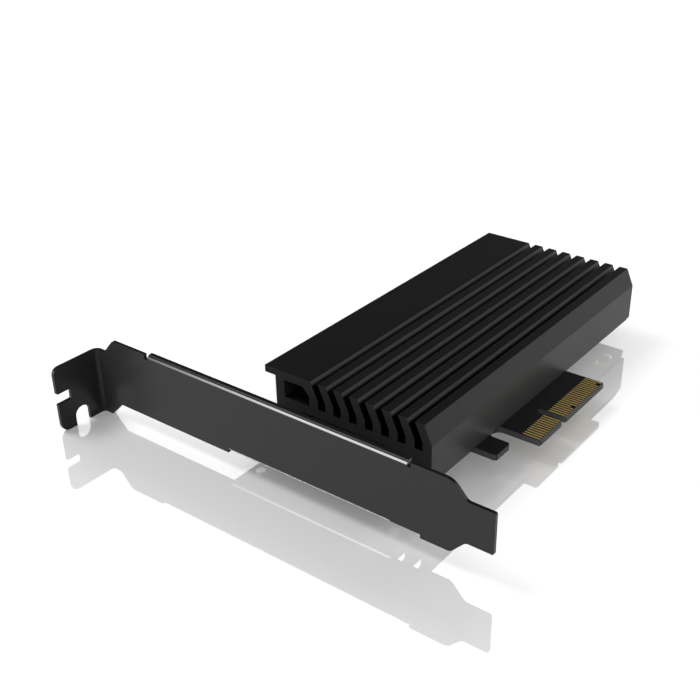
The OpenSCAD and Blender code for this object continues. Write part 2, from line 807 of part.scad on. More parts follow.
// Drive board with its screw notch, plug-in tongue and key
module drive_board() {
    side = ssd_w / 2;
    half_tongue = tongue_w / 2;
    corner_r = ssd_t;
    key_low = ssd_key_x - ssd_key_w / 2;
    key_high = ssd_key_x + ssd_key_w / 2;
    outline = [
        [-side, ssd_y, corner_r],
        [side, ssd_y, corner_r],
        [side, shoulder_y, 0],
        [half_tongue, shoulder_y, 0],
        [half_tongue, ssd_end, corner_r / 2],
        [key_high, ssd_end, 0],
        [key_high, ssd_end - ssd_key_depth, round_end_share * ssd_key_w],
        [key_low, ssd_end - ssd_key_depth, round_end_share * ssd_key_w],
        [key_low, ssd_end, 0],
        [-half_tongue, ssd_end, corner_r / 2],
        [-half_tongue, shoulder_y, 0],
        [-side, shoulder_y, 0]];
    color("#17683c") translate([0, 0, ssd_z]) difference() {
        linear_extrude(ssd_t) polygon(rounded(outline));
        translate([0, ssd_y, -overrun])
            cylinder(r = ssd_notch_r, h = ssd_t + 2 * overrun, $fn = round_fn);
        for (place = [[ssd_hole_inset - side, ssd_y + ssd_hole_setback],
            [side - ssd_hole_inset, shoulder_y - ssd_hole_shoulder]])
            translate([place.x, place.y, -overrun])
                cylinder(r = ssd_hole_r, h = ssd_t + 2 * overrun, $fn = round_fn);
    }
}

// Calls its children at each contact position across the drive, leaving out the key
module each_ssd_contact() {
    reach = floor((tongue_w / 2 - ssd_pitch) / ssd_pitch);
    for (i = [-reach : reach])
        if (abs(i * ssd_pitch - ssd_key_x) > ssd_key_w / 2 + ssd_pitch / 2)
            translate([i * ssd_pitch, 0, 0]) children();
}

ssd_contact_l = 2;
ssd_contact_w_share = 0.6;

module drive_contacts() {
    width = ssd_contact_w_share * ssd_pitch;
    color("#c9a13f") for (z = [ssd_z - copper_t, ssd_top]) each_ssd_contact()
        block([-width / 2, ssd_end - ssd_contact_l - ssd_t / 2, z],
            [width / 2, ssd_end - ssd_t / 2, z + copper_t]);
}

// Chips of one height, so that the upper pad lies flat on all of them
flash_x = flash_side - ssd_w / 2;
flash_w = ssd_w - flash_side - lane_w;
flash_y = ssd_y + flash_setback;
power_y = flash_y + flash_l + chip_gap;
flash_far_y = shoulder_y - tongue_l / 4 - flash_l;
controller_x = flash_x + chip_gap / 2;
controller_y = flash_far_y - chip_gap - controller_w;

module chip(x, y, width, length) {
    color("#1a1a1b") block([x, y, ssd_top], [x + width, y + length, chip_top]);
}

module flash_chip_near() {
    chip(flash_x, flash_y, flash_w, flash_l);
}

module flash_chip_far() {
    chip(flash_x, flash_far_y, flash_w, flash_l);
}

module controller_chip() {
    chip(controller_x, controller_y, controller_w, controller_w);
}

module power_chip() {
    chip(flash_x + flash_w - power_w, power_y, power_w, power_l);
}

// Free stretch between the power chip and the controller, and the lane beside the chips
field_y = power_y + power_l;
field_l = controller_y - field_y;
lane_x = flash_x + flash_w + small_part_gap;
lane_end_x = ssd_w / 2 - small_part_gap;

// Inductors in a slanted row in the free stretch, and a small chip in the lane
inductor_count = 2;

module drive_inductors() {
    side = chip_gap;
    step = side + small_part_gap;
    count = min(inductor_count, floor(field_l / (side + step)));
    side_chip_l = lane_end_x - lane_x - small_part_gap;
    color("#4a4b4e") {
        for (i = [0 : 1 : count - 1])
            translate([lane_end_x - small_part_l - side - i * (side - small_part_gap / 2),
                field_y + small_part_l + i * step, ssd_top]) cube([side, side, chip_h]);
        translate([lane_x + small_part_gap, flash_y + flash_l - 2 * side, ssd_top])
            cube([side_chip_l, side, chip_h / 2]);
    }
}

// Columns of the parts before the near flash chip, as shares of the drive's width
near_column_shares = [0.125, 0.44, 0.67, 0.745, 0.92];
// Where that row stands between the drive's near end and the chip
near_row_share = 0.75;

module small_part(x, y) {
    translate([x, y, ssd_top]) cube([small_part_l, small_part_w, small_part_w]);
}

// Columns of small parts that fill a rectangle, with gaps here and there
module small_parts_between(low_x, high_x, low_y, high_y) {
    pitch_x = small_part_l + small_part_gap;
    pitch_y = 2 * small_part_w;
    columns = floor((high_x - low_x + small_part_gap) / pitch_x);
    rows = floor((high_y - low_y + small_part_w) / pitch_y);
    for (i = [0 : 1 : columns - 1], j = [0 : 1 : rows - 1])
        if ((2 * i + j) % 5 > 0) small_part(low_x + i * pitch_x, low_y + j * pitch_y);
}

module drive_small_parts() {
    near_row_y = ssd_y + near_row_share * flash_setback - small_part_w / 2;
    flash_end = flash_y + flash_l;
    color("#a98f6a") {
        for (share = near_column_shares)
            small_part(share * ssd_w - ssd_w / 2 - small_part_l / 2, near_row_y);
        small_parts_between(lane_x + small_part_gap, lane_end_x - small_part_l,
            flash_y, flash_end - 2 * chip_gap - small_part_gap);
        small_parts_between(lane_x, lane_end_x, flash_end - small_part_gap, field_y);
        small_parts_between(controller_x + controller_w + small_part_gap, lane_end_x,
            field_y + field_l / 2, flash_far_y - small_part_gap);
        small_parts_between(lane_x, lane_end_x, flash_far_y,
            shoulder_y - ssd_hole_shoulder - ssd_hole_r - small_part_gap);
    }
}

// Drive socket: floor, roof, back and end walls round the plug-in tongue
socket_clear = 0.15;
socket_top = ssd_top + socket_clear + socket_roof;

module socket_housing() {
    side = ssd_w / 2;
    front = shoulder_y + socket_clear;
    back = shoulder_y + socket_l;
    mouth_end = ssd_end + socket_clear;
    mouth_x = tongue_w / 2 + socket_clear;
    floor_z = board_top + socket_floor;
    key_half = ssd_key_w / 2 - socket_clear;
    color("#151516") difference() {
        block([-side, front, board_top], [side, back, socket_top]);
        block([-mouth_x, front - overrun, floor_z],
            [mouth_x, mouth_end, ssd_top + socket_clear]);
        block([-mouth_x, front - overrun, floor_z],
            [mouth_x, ssd_end - roof_reach, socket_top + overrun]);
    }
    color("#151516") block([ssd_key_x - key_half, ssd_end - ssd_key_depth + 2 * socket_clear,
        floor_z], [ssd_key_x + key_half, mouth_end, ssd_top + socket_clear]);
}

// Middle line of a front pin, in the Y-Z plane from the tip of its tail: a climb up to
// the housing's floor, then a hump that stops just short of the drive's contacts
climb_steps = 5;
hump_steps = 10;
pin_low = socket_floor + socket_clear;
pin_high = ssd_z - copper_t - pin_t - socket_clear - board_top;
pin_run = tongue_l - 2 * socket_clear;
pin_line = concat(
    [for (i = [0 : climb_steps]) let (share = i / climb_steps)
        [tail_l * share, board_top + pin_low * (1 - cos(180 * share)) / 2]],
    [for (i = [1 : hump_steps]) let (share = i / hump_steps)
        [tail_l + pin_run * share,
            board_top + pin_low + (pin_high - pin_low) * (1 - cos(360 * share)) / 2]]);

module socket_front_pins() {
    last = len(pin_line) - 1;
    upper = [for (i = [last : -1 : 0]) [pin_line[i].x, pin_line[i].y + pin_t]];
    color("#c8c9c6") each_ssd_contact() translate([-pin_w / 2, tail_y, 0])
        along_x(pin_w) polygon(concat(pin_line, upper));
}

module socket_rear_pins() {
    back = shoulder_y + socket_l;
    color("#c8c9c6") each_ssd_contact()
        block([-pin_w / 2, back, board_top], [pin_w / 2, back + tail_l, board_top + pin_t]);
}

// Nut soldered into the board: a collar under the drive and a spigot in the hole
nut_spigot_r = ssd_notch_r;

module retaining_nut() {
    color("#c6c4bc") translate([0, ssd_y, 0]) difference() {
        union() {
            translate([0, 0, board_top])
                cylinder(r = nut_r, h = ssd_z - board_top, $fn = round_fn);
            cylinder(r = nut_spigot_r, h = board_top, $fn = round_fn);
        }
        translate([0, 0, -overrun])
            cylinder(r = ssd_screw_r + thread_gap, h = ssd_z + 2 * overrun, $fn = round_fn);
    }
}

module drive_screw() {
    color("#b9babc") translate([0, ssd_y, ssd_top])
        screw(ssd_screw_r, ssd_screw_l, ssd_head_r, ssd_head_h);
}

in_part() bracket();
in_part() circuit_board();
in_part() component_edge_contacts();
in_part() solder_edge_contacts();
in_part() plated_slots();
in_part() spare_hole_rings();
in_part() copper_area();
in_part() capacitor_bodies();
in_part() capacitor_ends();
in_part() heat_sink();
in_part() heat_sink_screws();
in_part() bracket_screws();
in_part() upper_thermal_pad();
in_part() lower_thermal_pad();
in_part() drive_board();
in_part() drive_contacts();
in_part() flash_chip_near();
in_part() flash_chip_far();
in_part() controller_chip();
in_part() power_chip();
in_part() drive_inductors();
in_part() drive_small_parts();
in_part() socket_housing();
in_part() socket_front_pins();
in_part() socket_rear_pins();
in_part() retaining_nut();
in_part() drive_screw();
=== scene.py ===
# Finishes, fine detail, light and camera for the adapter card
import math

import bmesh
import bpy
from mathutils import Matrix, Vector


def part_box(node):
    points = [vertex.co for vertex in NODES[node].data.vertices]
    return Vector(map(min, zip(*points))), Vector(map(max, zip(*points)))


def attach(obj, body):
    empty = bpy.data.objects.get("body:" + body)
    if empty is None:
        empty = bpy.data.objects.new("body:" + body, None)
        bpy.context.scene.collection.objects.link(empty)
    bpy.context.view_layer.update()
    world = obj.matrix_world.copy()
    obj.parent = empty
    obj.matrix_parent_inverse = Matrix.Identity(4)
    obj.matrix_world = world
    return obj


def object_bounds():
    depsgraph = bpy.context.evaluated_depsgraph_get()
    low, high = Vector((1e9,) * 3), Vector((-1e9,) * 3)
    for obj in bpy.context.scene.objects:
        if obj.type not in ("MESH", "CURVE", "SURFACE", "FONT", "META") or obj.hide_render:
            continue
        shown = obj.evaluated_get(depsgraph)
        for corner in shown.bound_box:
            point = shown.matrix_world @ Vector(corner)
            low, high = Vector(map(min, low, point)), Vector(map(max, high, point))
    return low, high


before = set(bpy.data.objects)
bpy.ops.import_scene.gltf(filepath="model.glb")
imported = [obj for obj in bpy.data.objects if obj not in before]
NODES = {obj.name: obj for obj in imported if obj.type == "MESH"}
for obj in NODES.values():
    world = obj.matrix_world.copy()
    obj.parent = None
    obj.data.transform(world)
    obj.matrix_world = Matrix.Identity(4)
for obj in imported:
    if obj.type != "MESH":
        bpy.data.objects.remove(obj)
cad_low, cad_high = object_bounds()
MM = 0.001

# Camera: the photograph's own place, lens and framing
IMAGE_SIZE = 700
SENSOR = 36.0
FOCAL_PIXELS = 1069.44
CAMERA_PLACE = Vector((143.95, -204.245, 148.64)) * MM
AZIMUTH = math.radians(35.616)
ELEVATION = math.radians(28.555)
ROLL = math.radians(0.126)
PRINCIPAL_X = 397.48
PRINCIPAL_Y = 352.54


def add_object(name, data):
    made = bpy.data.objects.new(name, data)
    bpy.context.scene.collection.objects.link(made)
    return made


def make_camera():
    data = bpy.data.cameras.new("camera")
    data.sensor_width = SENSOR
    data.lens = FOCAL_PIXELS * SENSOR / IMAGE_SIZE
    data.shift_x = (IMAGE_SIZE / 2 - PRINCIPAL_X) / IMAGE_SIZE
    data.shift_y = (PRINCIPAL_Y - IMAGE_SIZE / 2) / IMAGE_SIZE
    data.clip_start = 0.01
    data.clip_end = 20.0
    camera = add_object("camera", data)
    look = Vector((
        -math.sin(AZIMUTH) * math.cos(ELEVATION),
        math.cos(AZIMUTH) * math.cos(ELEVATION),
        -math.sin(ELEVATION)))
    turn = look.to_track_quat("-Z", "Y").to_matrix().to_4x4()
    roll = Matrix.Rotation(ROLL, 4, "Z")
    camera.matrix_world = Matrix.Translation(CAMERA_PLACE) @ turn @ roll
    bpy.context.scene.camera = camera


# How far a normal leans along an axis when its face counts as looking that way
FULLY_FACING = 0.9
LEVEL_FACE = 0.6


class Material:
    """A node material on one Principled shader, built up by short calls."""

    def __init__(self, name, color, roughness, metallic=0.0, **extra):
        self.made = bpy.data.materials.new(name)
        self.made.use_nodes = True
        self.tree = self.made.node_tree
        self.shader = self.tree.nodes["Principled BSDF"]
        self.set("Base Color", (*color, 1.0))
        self.set("Roughness", roughness)
        self.set("Metallic", metallic)
        for key, value in extra.items():
            self.set(key.replace("_", " "), value)
        self.height = None
        self.color = None

    def set(self, socket, value):
        self.shader.inputs[socket].default_value = value

    def node(self, kind, **inputs):
        made = self.tree.nodes.new(kind)
        for key, value in inputs.items():
            self.plug(made.inputs[key.replace("_", " ")], value)
        return made

    def plug(self, socket, value):
        if isinstance(value, bpy.types.NodeSocket):
            self.tree.links.new(value, socket)
        else:
            socket.default_value = value

    def math(self, operation, first, second=0.0):
        made = self.tree.nodes.new("ShaderNodeMath")
        made.operation = operation
        self.plug(made.inputs[0], first)
        self.plug(made.inputs[1], second)
        return made.outputs[0]

    def place(self, stretch=(1.0, 1.0, 1.0)):
        """Object coordinates, with each axis's detail stretched."""
        coords = self.node("ShaderNodeTexCoord").outputs["Object"]
        scaled = self.node("ShaderNodeMapping", Vector=coords, Scale=stretch)
        return scaled.outputs["Vector"]

    def noise(self, size, stretch=(1.0, 1.0, 1.0), detail=3.0, rough=0.55):
        """Noise whose blotches are about size across, in metres."""
        made = self.node("ShaderNodeTexNoise", Vector=self.place(stretch),
            Scale=1.0 / size, Detail=detail, Roughness=rough)
        return made.outputs["Fac"]

    def ramp(self, factor, low, high, from_color, to_color):
        made = self.node("ShaderNodeValToRGB", Fac=factor)
        made.color_ramp.elements[0].position = low
        made.color_ramp.elements[1].position = high
        made.color_ramp.elements[0].color = (*from_color, 1.0)
        made.color_ramp.elements[1].color = (*to_color, 1.0)
        return made.outputs["Color"]

    def spread(self, factor, low, high, from_low=0.0, from_high=1.0):
        """Maps a factor's range onto low to high."""
        made = self.node("ShaderNodeMapRange", Value=factor)
        made.inputs["From Min"].default_value = from_low
        made.inputs["From Max"].default_value = from_high
        made.inputs["To Min"].default_value = low
        made.inputs["To Max"].default_value = high
        return made.outputs["Result"]

    def tint(self, factor, from_color, to_color, low=0.3, high=0.7):
        self.color = self.ramp(factor, low, high, from_color, to_color)
        self.plug(self.shader.inputs["Base Color"], self.color)

    def over(self, factor, color):
        """Lays another colour over the tint where the factor is 1."""
        mix = self.tree.nodes.new("ShaderNodeMix")
        mix.data_type = "RGBA"
        self.plug(mix.inputs["Factor"], factor)
        self.plug(mix.inputs["A"], self.color)
        self.plug(mix.inputs["B"], (*color, 1.0))
        self.color = mix.outputs["Result"]
        self.plug(self.shader.inputs["Base Color"], self.color)

    def edges(self, radius, strength):
        """A factor that is strongest on edges, from the bend of a bevelled normal."""
        bevelled = self.node("ShaderNodeBevel", Radius=radius).outputs["Normal"]
        plain = self.node("ShaderNodeNewGeometry").outputs["True Normal"]
        dot = self.tree.nodes.new("ShaderNodeVectorMath")
        dot.operation = "DOT_PRODUCT"
        self.plug(dot.inputs[0], bevelled)
        self.plug(dot.inputs[1], plain)
        return self.spread(dot.outputs["Value"], strength, 0.0, 0.75, 0.99)

    def facing(self, axis):
        """How far a face looks along an axis, either way, from 0 to 1."""
        normal = self.node("ShaderNodeNewGeometry").outputs["True Normal"]
        split = self.node("ShaderNodeSeparateXYZ", Vector=normal)
        return self.math("ABSOLUTE", split.outputs[axis])

    def looking(self, axis, start=0.5):
        """A factor that rises to 1 on faces that look along an axis."""
        return self.spread(self.facing(axis), 0.0, 1.0, start, FULLY_FACING)

    def axes(self):
        """Object coordinates, split into X, Y and Z."""
        return self.node("ShaderNodeSeparateXYZ", Vector=self.place()).outputs

    def walls(self):
        """A factor of 1 on upright faces and 0 on level ones."""
        return self.math("LESS_THAN", self.facing("Z"), LEVEL_FACE)

    def gloss(self, factor, low, high):
        self.plug(self.shader.inputs["Roughness"], self.spread(factor, low, high))

    def relief(self, factor, depth, edge=0.0):
        """Adds a bump of a depth in metres, over what relief there is."""
        inputs = {"Height": factor, "Distance": depth, "Strength": 1.0}
        if self.height is not None:
            inputs["Normal"] = self.height
        elif edge > 0:
            inputs["Normal"] = self.node("ShaderNodeBevel", Radius=edge).outputs["Normal"]
        self.height = self.node("ShaderNodeBump", **inputs).outputs["Normal"]
        self.plug(self.shader.inputs["Normal"], self.height)


def grey(value):
    return (value, value, value * 1.02)


def darker(color, share):
    return tuple(channel * share for channel in color)


# Metal and painted finishes
# Grooves from the heat sink's sides, and the depths where their painted light turns to painted
# shade
GROOVES_LEFT = 14.2 * MM
GROOVES_RIGHT = 2.35 * MM
PAINTED_LIGHT_DEPTH = 0.6 * MM
PAINTED_SHADE_DEPTH = 1.05 * MM


def anodised():
    """Black anodised extrusion with fine draw lines; painted light makes its ends and flanks
    lighter than its top, a painted highlight lies on its edges, and its grooves carry
    painted light at the mouth and painted shade below."""
    made = Material("heat_sink_anodised", grey(0.012), 0.42, Specular_IOR_Level=0.1)
    ends = made.looking("Y")
    flanks = made.looking("X", 0.6)
    made.tint(made.noise(0.02, (1, 0.2, 1)), grey(0.0068), grey(0.0092))
    # Painted light: ends and flanks are painted lighter than the top by the way they face
    made.over(ends, grey(0.05))
    made.over(flanks, grey(0.042))
    # Painted highlight: edges are painted lighter
    made.over(made.edges(0.00012, 0.3), grey(0.05))
    low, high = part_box("heat_sink")
    place = made.axes()
    grooves = made.math("MULTIPLY",
        made.math("GREATER_THAN", place["X"], low.x + GROOVES_LEFT),
        made.math("LESS_THAN", place["X"], high.x - GROOVES_RIGHT))
    # Painted light on the flanks at the grooves' mouths
    made.over(made.math("MULTIPLY", flanks, grooves), grey(0.07))
    # Painted shade: the grooves are painted near black below their mouths
    deep = made.spread(place["Z"], 1.0, 0.0, high.z - PAINTED_SHADE_DEPTH, high.z - PAINTED_LIGHT_DEPTH)
    inside = made.math("MULTIPLY", grooves, made.math("SUBTRACT", 1.0, ends))
    made.over(made.math("MULTIPLY", deep, inside), grey(0.002))
    streaks = made.noise(0.0007, (1, 0.004, 1), 2.0)
    made.gloss(streaks, 0.36, 0.46)
    made.relief(streaks, 0.000003, 0.00008)
    made.relief(made.noise(0.00012, detail=2.0), 0.000003)
    return made.made


# Painted highlight on the lip's bend: its ends along X, its share at the dull end, and the lean
# of the faces that it lies on
BEND_DULL_X = -45 * MM
BEND_BRIGHT_X = 5 * MM
BEND_DULL = 0.12
BEND_FACING_Z = (0.3, 0.36)
BEND_FACING_Y = (0.72, 0.78)


def painted():
    """Satin black powder coat, with faces looking along Y and X painted lighter as painted
    light, and a painted highlight on the lip bend that grows towards the tongue.
    """
    made = Material("bracket_paint", grey(0.008), 0.24, Specular_IOR_Level=0.16)
    made.tint(made.noise(0.03), grey(0.0066), grey(0.0086))
    # Painted light: faces looking along Y and X are painted lighter by the way they face
    made.over(made.looking("Y"), grey(0.04))
    made.over(made.looking("X"), grey(0.021))
    place = made.axes()
    # Painted highlight on the lip's bend, growing towards the tongue
    slanted = made.math("MULTIPLY", made.spread(made.facing("Z"), 0.0, 1.0, *BEND_FACING_Z),
        made.spread(made.facing("Y"), 0.0, 1.0, *BEND_FACING_Y))
    grown = made.spread(place["X"], BEND_DULL, 1.0, BEND_DULL_X, BEND_BRIGHT_X)
    made.over(made.math("MULTIPLY", slanted, grown), grey(0.85))
    made.gloss(made.noise(0.004), 0.28, 0.34)
    made.relief(made.noise(0.0004, detail=2.0), 0.000003, 0.00008)
    return made.made


def board_mask():
    """Glossy black mask on both faces; cut edges are dull, with painted shade on them and
    painted light on those that face along the card.
    """
    made = Material("board_mask", grey(0.004), 0.18, Specular_IOR_Level=0.2)
    made.tint(made.noise(0.01), grey(0.0092), grey(0.011))
    # Painted shade on the cut edges, and painted light on those that face along the card
    made.over(made.walls(), grey(0.006))
    made.over(made.looking("Y"), grey(0.1))
    faces = made.spread(made.noise(0.003), 0.14, 0.22)
    cut = made.math("MULTIPLY", made.walls(), 0.3)
    made.plug(made.shader.inputs["Roughness"], made.math("ADD", faces, cut))
    made.relief(made.noise(0.0012, detail=2.0), 0.000001, 0.00008)
    return made.made


def drive_mask():
    """Green mask, brighter where light passes the board's cut edges."""
    made = Material("drive_mask", (0.01, 0.15, 0.06), 0.28, Coat_Weight=0.2)
    made.tint(made.noise(0.003), (0.007, 0.11, 0.045), (0.012, 0.17, 0.07))
    made.over(made.walls(), (0.02, 0.36, 0.17))
    made.gloss(made.noise(0.002), 0.24, 0.36)
    made.relief(made.noise(0.0006), 0.00001, 0.00006)
    return made.made


# Contacts of the card edge, and the distances from a contact's middle where its painted shade
# starts and where it is full
FINGER_PITCH = 1.0 * MM
FINGER_W = 0.7 * MM
FINGER_SHADE_START = 0.2 * MM
FINGER_SHADE_FULL = 0.31 * MM


def gold(name, color, roughness, metallic=1.0, fingers=None):
    """Gold plate; on a row of fingers each contact carries painted shade along its sides."""
    made = Material(name, color, roughness, metallic)
    made.tint(made.noise(0.004), darker(color, 0.86), color)
    if fingers:
        place = made.axes()
        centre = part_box(fingers)[0].y + FINGER_W / 2
        away = made.math("PINGPONG", made.math("SUBTRACT", place["Y"], centre),
            FINGER_PITCH / 2)
        side = made.spread(away, 0.0, 1.0, FINGER_SHADE_START, FINGER_SHADE_FULL)
        # Painted shade along each contact's sides
        made.over(side, darker(color, 0.02))
    made.gloss(made.noise(0.0016), roughness * 0.9, roughness * 1.15)
    made.relief(made.noise(0.0008, detail=1.0), 0.000001)
    return made.made


def copper_plane():
    """Bare gilded copper, clouded by handling and with a fine laminate weave below."""
    made = Material("copper_area", (0.5, 0.36, 0.13), 0.4, 1.0)
    made.tint(made.noise(0.012), (0.36, 0.25, 0.085), (0.56, 0.41, 0.16))
    made.gloss(made.noise(0.004), 0.3, 0.48)
    made.relief(made.noise(0.0004, detail=2.0), 0.000006)
    return made.made


def metal(name, color, roughness, grain=0.0004):
    made = Material(name, color, roughness, 1.0)
    made.tint(made.noise(grain * 5), darker(color, 0.8), color)
    made.gloss(made.noise(grain), roughness * 0.8, roughness * 1.3)
    made.relief(made.noise(grain), 0.000002, 0.00005)
    return made.made


# Plastic, ceramic and silicone finishes
def plastic(name, color, roughness, grain=0.0002, depth=0.000006, vary=0.25):
    made = Material(name, color, roughness)
    made.tint(made.noise(grain * 20), darker(color, 1 - vary), color)
    made.gloss(made.noise(grain * 8), roughness * 0.88, roughness * 1.12)
    made.relief(made.noise(grain), depth, 0.00006)
    return made.made


def package(name):
    """Moulded chip package: a fine spark-eroded grain, and edges painted lighter as a painted
    highlight.
    """
    made = Material(name, grey(0.014), 0.5)
    made.tint(made.noise(0.004), grey(0.011), grey(0.017))
    # Painted highlight: edges are painted lighter
    made.over(made.edges(0.00015, 0.8), grey(0.09))
    made.gloss(made.noise(0.0016), 0.42, 0.56)
    made.relief(made.noise(0.00015), 0.000006, 0.00008)
    return made.made


def silicone(name):
    """Soft pad with a fine cloth print and paler cut edges."""
    made = Material(name, (0.36, 0.36, 0.355), 0.72)
    made.tint(made.noise(0.006), (0.31, 0.31, 0.305), (0.38, 0.38, 0.375))
    made.over(made.edges(0.0003, 0.7), (0.72, 0.72, 0.71))
    made.relief(made.noise(0.0008), 0.00002, 0.0001)
    return made.made


GOLD = gold("contact_gold", (0.9, 0.68, 0.28), 0.3, 0.8)
FINGER_GOLD = gold("finger_gold", (0.7, 0.51, 0.185), 0.3, 0.55, "component_edge_contacts")
TIN = metal("solder_tin", (0.82, 0.81, 0.78), 0.24)
FINISHES = {
    "bracket": painted(),
    "circuit_board": board_mask(),
    "component_edge_contacts": FINGER_GOLD,
    "solder_edge_contacts": FINGER_GOLD,
    "plated_slots": gold("plated_gold", (0.8, 0.58, 0.24), 0.28),
    "spare_hole_rings": gold("ring_gold", (0.8, 0.58, 0.24), 0.28),
    "copper_area": copper_plane(),
    "capacitor_bodies": plastic("capacitor_ceramic", (0.3, 0.19, 0.08), 0.45),
    "capacitor_ends": TIN,
    "heat_sink": anodised(),
    "heat_sink_screws": metal("black_screw", (0.05, 0.05, 0.055), 0.36),
    "bracket_screws": metal("nickel_screw", (0.62, 0.62, 0.63), 0.24),
    "upper_thermal_pad": silicone("upper_pad_silicone"),
    "lower_thermal_pad": silicone("lower_pad_silicone"),
    "drive_board": drive_mask(),
    "drive_contacts": GOLD,
    "flash_chip_near": package("near_flash_package"),
    "flash_chip_far": package("far_flash_package"),
    "controller_chip": package("controller_package"),
    "power_chip": package("power_package"),
    "drive_inductors": plastic("inductor_powder", (0.07, 0.07, 0.075), 0.6, vary=0.4),
    "drive_small_parts": plastic("small_part_ceramic", (0.26, 0.17, 0.1), 0.45),
    "socket_housing": plastic("socket_plastic", (0.012, 0.012, 0.013), 0.4),
    "socket_front_pins": metal("front_pin_alloy", (0.84, 0.83, 0.78), 0.2),
    "socket_rear_pins": metal("rear_pin_tin", (0.82, 0.81, 0.78), 0.3),
    "retaining_nut": metal("nut_tin", (0.75, 0.73, 0.68), 0.3),
    "drive_screw": metal("drive_screw_nickel", (0.62, 0.62, 0.63), 0.24),
}


def finish_nodes():
    for name, node in NODES.items():
        for held in node.material_slots:
            held.material = FINISHES[name]


# Reading places from the frame
MERGE = 1e-7


def islands(name):
    """Corners of each separate solid in a CAD node, in metres."""
    mesh = bmesh.new()
    mesh.from_mesh(NODES[name].data)
    bmesh.ops.remove_doubles(mesh, verts=mesh.verts, dist=MERGE)
    left = set(mesh.verts)
    found = []
    while left:
        group = [left.pop()]
        for vert in group:
            near = {edge.other_vert(vert) for edge in vert.link_edges} & left
            left -= near
            group.extend(near)
        low = Vector([min(vert.co[axis] for vert in group) for axis in range(3)])
        high = Vector([max(vert.co[axis] for vert in group) for axis in range(3)])
        found.append((low, high))
    mesh.free()
    return sorted(found, key=lambda pair: tuple(round(value, 6) for value in pair[0]))


# Building detail
def finish_piece(mesh, name, material):
    """Turns a bmesh into a piece that rides with the card."""
    bmesh.ops.recalc_face_normals(mesh, faces=mesh.faces)
    data = bpy.data.meshes.new(name)
    mesh.to_mesh(data)
    mesh.free()
    data.materials.append(material)
    piece = add_object(name, data)
    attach(piece, "root")


def add_rings(mesh, rings, closed=False):
    """Joins rings of equally many points with quads, and caps the first and last."""
    made = [[mesh.verts.new(point) for point in ring] for ring in rings]
    count = len(made[0])
    pairs = list(zip(made, made[1:]))
    if closed:
        pairs.append((made[-1], made[0]))
    for ring, following in pairs:
        for i in range(count):
            j = (i + 1) % count
            mesh.faces.new((ring[i], ring[j], following[j], following[i]))
    if not closed:
        mesh.faces.new(made[0][::-1])
        mesh.faces.new(made[-1])


def add_box(mesh, low, high, cut=0.0):
    """Box with its upper edges cut back."""
    x0, y0, z0 = low
    x1, y1, z1 = high
    levels = [(0.0, z0), (0.0, z1 - cut), (cut, z1)] if cut > 0 else [(0.0, z0), (0.0, z1)]
    add_rings(mesh, [[(x0 + inset, y0 + inset, z), (x1 - inset, y0 + inset, z),
        (x1 - inset, y1 - inset, z), (x0 + inset, y1 - inset, z)] for inset, z in levels])


def add_disc(mesh, centre, radius, height, sides=14):
    """Low round boss with a sloped rim."""
    x, y, z = centre
    levels = [(1.0, 0.0), (0.9, 0.7), (0.7, 1.0)]
    add_rings(mesh, [[
        (x + radius * share * math.cos(math.tau * i / sides),
         y + radius * share * math.sin(math.tau * i / sides), z + height * rise)
        for i in range(sides)] for share, rise in levels])


def add_ring(mesh, centre, outer, inner, height, sides=20):
    """Flat ring, such as the land round a via."""
    x, y, z = centre
    profile = [(outer, 0.0), (outer, height), (inner, height), (inner, 0.0)]
    add_rings(mesh, [[
        (x + radius * math.cos(math.tau * i / sides),
         y + radius * math.sin(math.tau * i / sides), z + rise)
        for radius, rise in profile] for i in range(sides)], closed=True)


def add_fillet(mesh, face, out, low_y, high_y, base, height, reach, steps=5):
    """Concave solder fillet that climbs a part's end face."""
    profile = [(face, base)]
    for i in range(steps + 1):
        angle = math.pi / 2 * i / steps
        profile.append((face + out * reach * (1 - math.sin(angle)),
            base + height * (1 - math.cos(angle))))
    rings = [[(x, y, z) for x, z in profile] for y in (low_y, high_y)]
    add_rings(mesh, rings)


def add_strip(mesh, points, width, height, base):
    """Flat strip along a line of points, with mitred bends."""
    sides = []
    for i, point in enumerate(points):
        before = point - points[i - 1] if i > 0 else points[1] - point
        after = points[i + 1] - point if i + 1 < len(points) else before
        across = (before.normalized() + after.normalized()).normalized()
        normal = Vector((-across.y, across.x)) * (width / 2)
        sides.append((point + normal, point - normal))
    add_rings(mesh, [[(left.x, left.y, base), (right.x, right.y, base),
        (right.x, right.y, base + height), (left.x, left.y, base + height)]
        for left, right in sides])


# Thread: steps in a turn, steps of the run-out, and the ridge's outline as shares of depth
# and pitch
THREAD_STEPS = 20
THREAD_RUN_OUT = 6
THREAD_OUTLINE = ((-0.4, -0.42), (0.9, -0.1), (0.9, 0.1), (-0.4, 0.42))


def add_thread(mesh, centre, radius, low, high, pitch, depth):
    """Helical ridge round a screw's shank."""
    turns = (high - low - pitch) / pitch
    count = int(THREAD_STEPS * turns)
    rings = []
    for i in range(count + 1):
        angle = math.tau * i / THREAD_STEPS
        middle = low + pitch / 2 + pitch * i / THREAD_STEPS
        grow = min(1.0, i / THREAD_RUN_OUT, (count - i) / THREAD_RUN_OUT)
        ring = []
        for reach, rise in THREAD_OUTLINE:
            out = radius + depth * (reach if reach < 0 else reach * grow)
            ring.append((centre.x + out * math.cos(angle), centre.y + out * math.sin(angle),
                middle + pitch * rise))
        rings.append(ring)
    add_rings(mesh, rings)


# Board and its levels
BOARD_LOW, BOARD_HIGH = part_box("circuit_board")
MASK_TOP = BOARD_HIGH.z
MASK_LOW = BOARD_LOW.z
LIFT = 0.00002


def middle(pair):
    return (pair[0] + pair[1]) / 2


